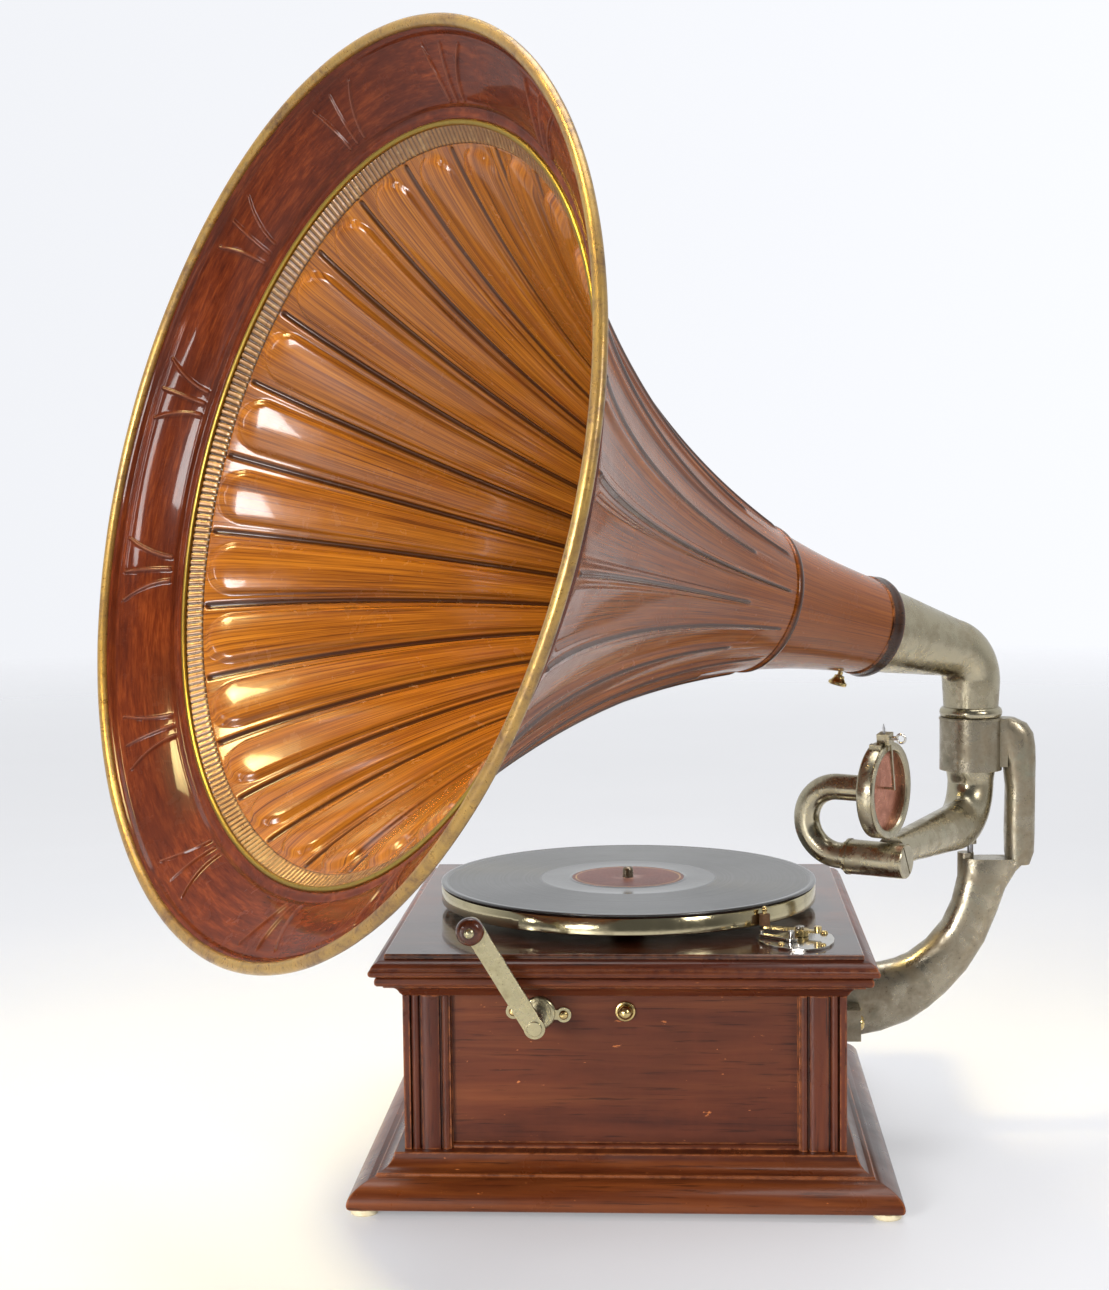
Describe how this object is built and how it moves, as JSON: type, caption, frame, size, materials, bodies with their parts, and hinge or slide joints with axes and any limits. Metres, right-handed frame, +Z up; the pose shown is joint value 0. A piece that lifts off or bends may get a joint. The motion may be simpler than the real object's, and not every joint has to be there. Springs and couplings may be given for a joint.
{
  "type": "wind-up phonograph",
  "caption": "Wind-up disc phonograph: moulded wooden case with crank and turntable, bracketed swivel tonearm with gooseneck sound box, and a large fluted horn turned to one side.",
  "frame": {"origin": "on the floor under the feet, straight below the turntable spindle, which is the centre of the case", "axes": "+Z up along the spindle; -Y the front with the crank; +X the side that carries the bracket, tonearm and horn"},
  "size_m": [0.5909, 0.6758, 0.6851],
  "materials": {
    "mahogany_case": "glossy shellac, worn on the edges",
    "lid_lacquer": "high gloss",
    "base_pine": "bare",
    "foot_pale": "turned, waxed",
    "nickel_patina": "worn nickel plate, brown and green patina",
    "nickel_bright": "polished nickel",
    "brass": "polished, lightly tarnished",
    "brass_aged": "dark tarnish",
    "shellac_record": "grooved gloss",
    "label_paper": "matt print",
    "felt": "matt felt",
    "steel": "oiled",
    "spring_steel": "blued",
    "leather_pad": "worn",
    "crank_knob_wood": "turned, varnished",
    "rubber_black": "aged",
    "diaphragm_copper": "satin copper tint",
    "horn_woodgrain": "wood-grain lacquer on sheet metal, high gloss",
    "horn_mahogany": "red-brown lacquer on sheet metal, high gloss",
    "bronze_band": "ribbed, antique bronze"
  },
  "bodies": {
    "case": {"plinth_moulding": "mahogany_case", "base_board": "base_pine", "feet": "foot_pale", "corner_posts": "mahogany_case", "front_panel": "mahogany_case", "rear_side_panels": "mahogany_case", "cornice_moulding": "mahogany_case", "lid_moulding": "mahogany_case", "lid_board": "lid_lacquer", "lid_hinges": "brass_aged", "latch_bezel": "brass", "crank_escutcheon": "nickel_bright", "brake_plate": "nickel_bright", "mounting_screws": "brass", "bracket_casting": "nickel_patina", "pivot_pin": "steel", "governor_brackets": "steel", "motor_bedplate": "steel", "motor_lower_plate": "steel", "motor_pillars": "steel", "motor_bolts": "steel"},
    "turntable": {"platter": "nickel_bright", "platter_felt": "felt", "spindle": "steel"},
    "record": {"record": "shellac_record", "record_label": "label_paper"},
    "spring_drum": {"spring_barrel": "steel", "barrel_lid": "steel", "mainspring": "spring_steel"},
    "winding": {"winding_arbor": "steel"},
    "intermediate": {"intermediate_arbor": "steel"},
    "governor": {"governor_shaft": "steel", "governor_weights": "brass"},
    "friction": {"friction_lever": "steel"},
    "crank": {"crank_arm": "nickel_bright", "crank_shaft": "steel"},
    "crank_knob": {"crank_knob": "crank_knob_wood"},
    "latch": {"latch_button": "brass"},
    "brake": {"brake_lever": "brass", "brake_pad": "leather_pad"},
    "speed": {"speed_lever": "nickel_bright"},
    "tonearm": {"tonearm_tube": "nickel_patina", "barrel_cap": "nickel_bright"},
    "gooseneck": {"gooseneck": "nickel_patina"},
    "soundbox": {"soundbox_housing": "nickel_bright", "soundbox_bezel": "nickel_bright", "rubber_flange": "rubber_black", "diaphragm": "diaphragm_copper", "stylus_bar": "nickel_patina", "needle": "steel"},
    "needle_screw": {"needle_screw": "nickel_bright"},
    "horn": {"horn_elbow": "nickel_patina", "neck_ring": "brass_aged", "horn_throat": "horn_woodgrain", "horn_bell": "horn_woodgrain", "ribbed_band": "bronze_band", "brass_ring": "brass", "horn_flange": "horn_mahogany", "rim_bead": "brass_aged"},
    "horn_screw": {"horn_thumbscrew": "brass"}
  },
  "joints": [
    {"name": "turntable_spin", "type": "hinge", "parent": "case", "child": "turntable", "pos_m": [0, 0, 0.165], "axis": [0, 0, 1], "continuous": true},
    {"name": "record_lift", "type": "slide", "parent": "turntable", "child": "record", "axis": [0, 0, -1], "range_m": [-0.05, 0]},
    {"name": "spring_drum_turn", "type": "hinge", "parent": "case", "child": "spring_drum", "pos_m": [-0.052, -0.04, 0.08], "axis": [0, 0, 1], "continuous": true},
    {"name": "intermediate_turn", "type": "hinge", "parent": "case", "child": "intermediate", "pos_m": [-0.03708, 0.00562, 0.08], "axis": [0, 0, 1], "continuous": true},
    {"name": "governor_spin", "type": "hinge", "parent": "case", "child": "governor", "pos_m": [0.0155, 0.02, 0.082], "axis": [0, 1, 0], "continuous": true},
    {"name": "friction_lever_swing", "type": "hinge", "parent": "case", "child": "friction", "pos_m": [0.0335, 0.0604, 0.112], "axis": [1, 0, 0], "range_deg": [0, 4]},
    {"name": "crank_turn", "type": "hinge", "parent": "case", "child": "crank", "pos_m": [-0.052, -0.15, 0.1162], "axis": [0, 1, 0], "continuous": true},
    {"name": "winding_arbor_turn", "type": "hinge", "parent": "case", "child": "winding", "pos_m": [-0.052, -0.04, 0.09], "axis": [0, 0, 1], "continuous": true},
    {"name": "crank_knob_spin", "type": "hinge", "parent": "crank", "child": "crank_knob", "pos_m": [-0.08857, -0.18, 0.17706], "axis": [0, 1, 0], "continuous": true},
    {"name": "latch_press", "type": "slide", "parent": "case", "child": "latch", "axis": [0, 1, 0], "range_m": [0, 0.004], "stiffness_N_per_m": 400, "springref_m": -0.001},
    {"name": "brake_swing", "type": "hinge", "parent": "case", "child": "brake", "pos_m": [0.1085, -0.1035, 0.16], "axis": [0, 0, 1], "range_deg": [0, 12]},
    {"name": "speed_swing", "type": "hinge", "parent": "case", "child": "speed", "pos_m": [0.1026, -0.119, 0.158], "axis": [0, 0, 1], "range_deg": [-12, 12]},
    {"name": "tonearm_swing", "type": "hinge", "parent": "case", "child": "tonearm", "pos_m": [0.227, 0, 0.23], "axis": [0, 0, -1], "range_deg": [-14, 43]},
    {"name": "gooseneck_flip", "type": "hinge", "parent": "tonearm", "child": "gooseneck", "pos_m": [0.16183, -0.11708, 0.2073], "axis": [0.8738, -0.4863, 0], "range_deg": [0, 85.4]},
    {"name": "soundbox_turn", "type": "hinge", "parent": "gooseneck", "child": "soundbox", "pos_m": [0.16337, -0.12193, 0.25056], "axis": [0.8738, -0.4863, 0], "range_deg": [0, 44]},
    {"name": "needle_screw_turn", "type": "hinge", "parent": "soundbox", "child": "needle_screw", "pos_m": [0.16055, -0.12699, 0.28345], "axis": [0.8738, -0.4863, 0], "continuous": true},
    {"name": "horn_swivel", "type": "hinge", "parent": "case", "child": "horn", "pos_m": [0.227, 0, 0.29], "axis": [0, 0, 1], "continuous": true},
    {"name": "horn_screw_turn", "type": "hinge", "parent": "horn", "child": "horn_screw", "pos_m": [0.13693, -0.0638, 0.31801], "axis": [-0.2689, -0.0192, -0.963], "continuous": true}
  ],
  "couplings": [
    {"joint": "spring_drum_turn", "follows": "turntable_spin", "ratio": 0.046296},
    {"joint": "intermediate_turn", "follows": "turntable_spin", "ratio": -0.25},
    {"joint": "governor_spin", "follows": "turntable_spin", "ratio": -16},
    {"joint": "winding_arbor_turn", "follows": "crank_turn", "ratio": -0.42857}
  ]
}
